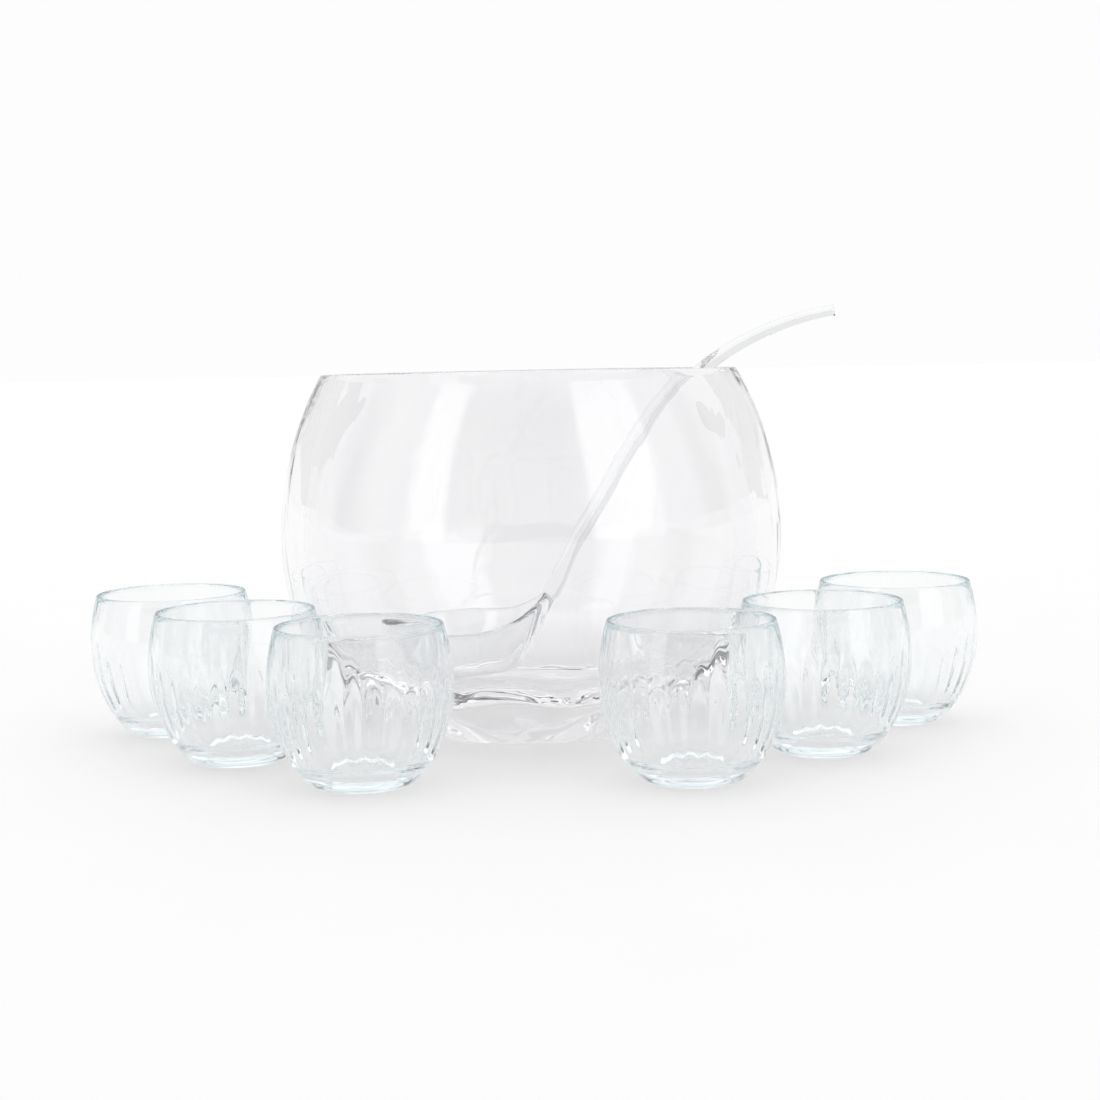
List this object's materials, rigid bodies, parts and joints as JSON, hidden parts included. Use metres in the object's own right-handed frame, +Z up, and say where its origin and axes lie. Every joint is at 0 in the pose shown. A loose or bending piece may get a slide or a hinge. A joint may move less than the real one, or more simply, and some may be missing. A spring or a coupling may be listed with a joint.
{
  "type": "punch bowl set",
  "caption": "Thick clear glass punch bowl with a loose bent glass ladle resting in it and a fan of ribbed roly-poly glass cups in front.",
  "frame": {"origin": "middle of the bowl's flat foot, on the table", "axes": "+Z up, +Y towards the back of the set, away from the cups; +X to the right, where the ladle leans"},
  "size_m": [0.4906, 0.3503, 0.2306],
  "materials": {
    "bowl_glass": "clear thick blown glass, fire polished",
    "ladle_glass": "clear drawn glass rod and blown cup, fire polished",
    "cup_glass": "clear ribbed pressed glass with a faint aqua tint in its thick base"
  },
  "bodies": {
    "bowl": {"bowl": "bowl_glass"},
    "ladle": {"ladle": "ladle_glass"},
    "cup_front_left": {"cup_front_left": "cup_glass"},
    "cup_middle_left": {"cup_middle_left": "cup_glass"},
    "cup_back_left": {"cup_back_left": "cup_glass"},
    "cup_front_right": {"cup_front_right": "cup_glass"},
    "cup_middle_right": {"cup_middle_right": "cup_glass"},
    "cup_back_right": {"cup_back_right": "cup_glass"}
  },
  "joints": [
    {"name": "ladle_lift", "type": "slide", "parent": "bowl", "child": "ladle", "axis": [0, 0, 1], "range_m": [0, 0.22]},
    {"name": "cup_front_left_lift", "type": "slide", "parent": "bowl", "child": "cup_front_left", "axis": [-0.2309, -0.4435, 0.866], "range_m": [0, 0.25]},
    {"name": "cup_middle_left_lift", "type": "slide", "parent": "bowl", "child": "cup_middle_left", "axis": [-0.4208, -0.27, 0.866], "range_m": [0, 0.25]},
    {"name": "cup_back_left_lift", "type": "slide", "parent": "bowl", "child": "cup_back_left", "axis": [-0.498, -0.0443, 0.866], "range_m": [0, 0.25]},
    {"name": "cup_front_right_lift", "type": "slide", "parent": "bowl", "child": "cup_front_right", "axis": [0.2073, -0.455, 0.866], "range_m": [0, 0.25]},
    {"name": "cup_middle_right_lift", "type": "slide", "parent": "bowl", "child": "cup_middle_right", "axis": [0.4061, -0.2916, 0.866], "range_m": [0, 0.25]},
    {"name": "cup_back_right_lift", "type": "slide", "parent": "bowl", "child": "cup_back_right", "axis": [0.495, -0.0703, 0.866], "range_m": [0, 0.25]}
  ]
}
